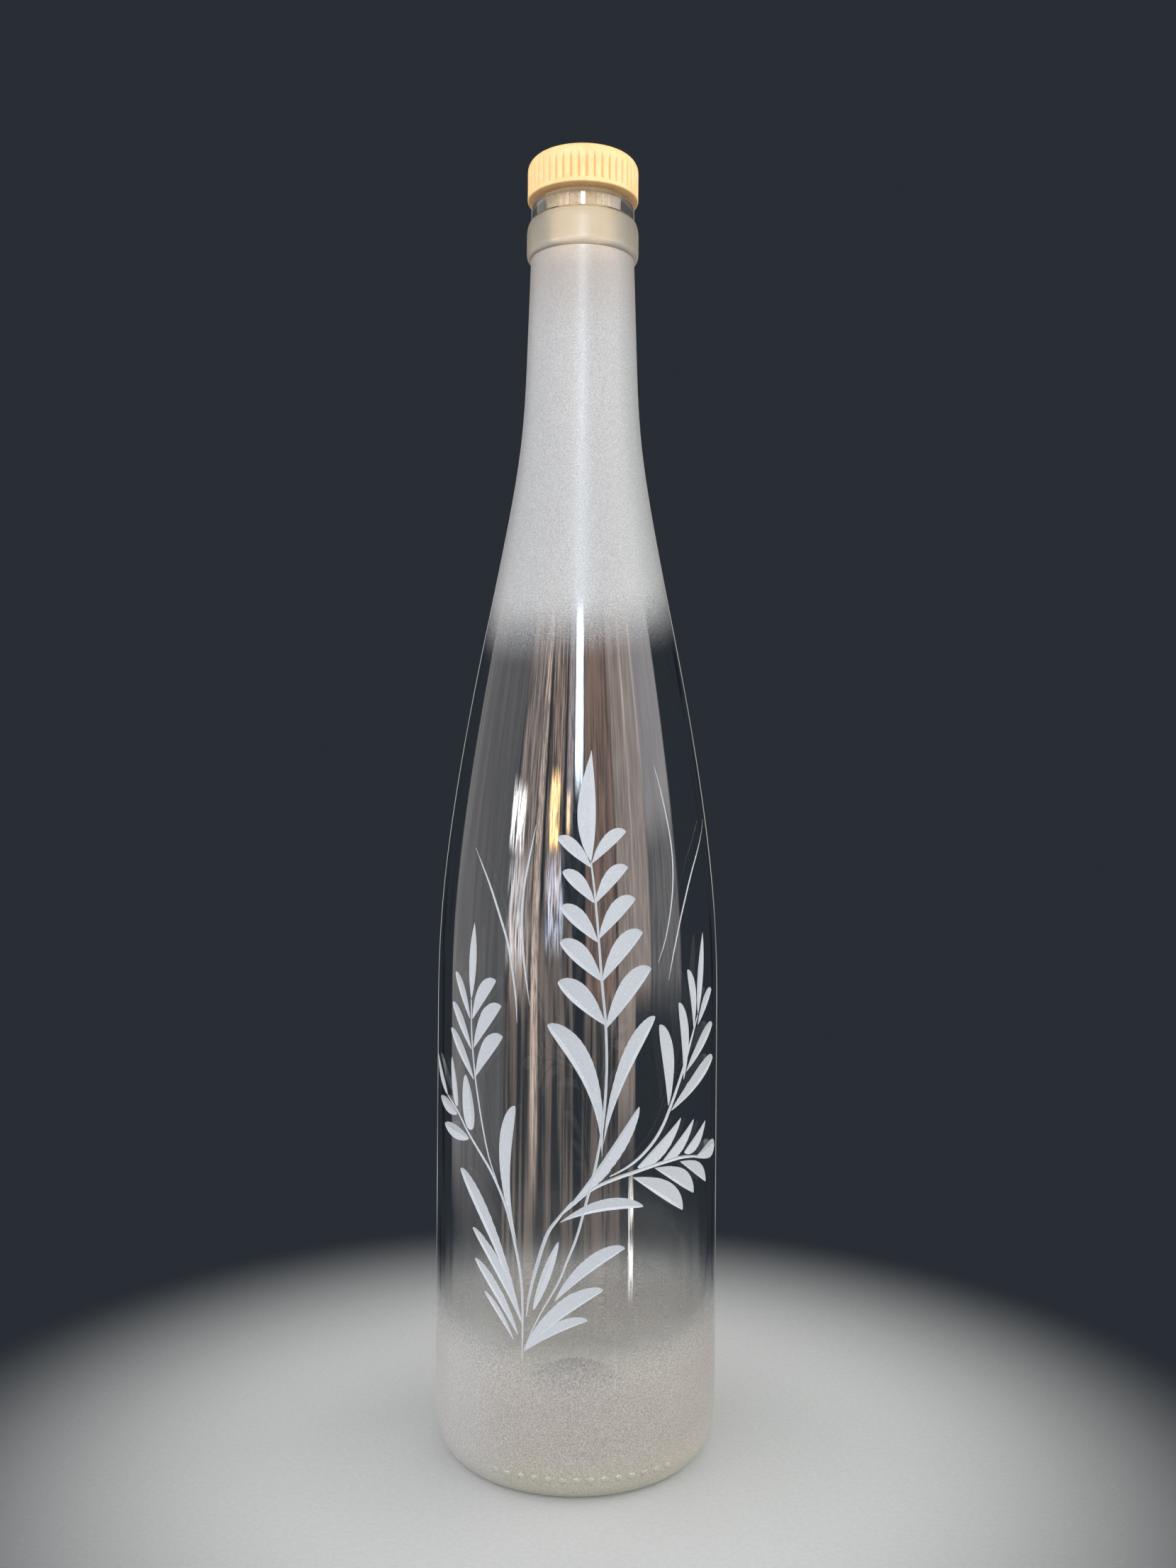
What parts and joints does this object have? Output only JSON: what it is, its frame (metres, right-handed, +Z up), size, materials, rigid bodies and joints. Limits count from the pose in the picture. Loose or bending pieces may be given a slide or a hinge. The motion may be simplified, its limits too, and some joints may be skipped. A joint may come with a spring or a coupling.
{
  "type": "fruit brandy bottle",
  "caption": "Tall glass spirit bottle with sloping shoulders, frosted neck and foot, engraved leaf sprays and a ribbed push-in stopper.",
  "frame": {"origin": "centre of the base, on the surface that the bottle stands on", "axes": "+Z up along the bottle's axis; -Y is the front, the side with the engraved ornament"},
  "size_m": [0.0734, 0.0734, 0.3377],
  "materials": {
    "glass": "clear, with a sandblasted neck and foot and matt wheel-cut ornament",
    "stopper_head_plastic": "satin moulded plastic",
    "stopper_shank_plastic": "matt"
  },
  "bodies": {
    "bottle": {"glass_bottle": "glass"},
    "stopper": {"stopper_head": "stopper_head_plastic", "stopper_shank": "stopper_shank_plastic"}
  },
  "joints": [
    {"name": "stopper_pull", "type": "slide", "parent": "bottle", "child": "stopper", "axis": [0, 0, 1], "range_m": [0, 0.045]}
  ]
}
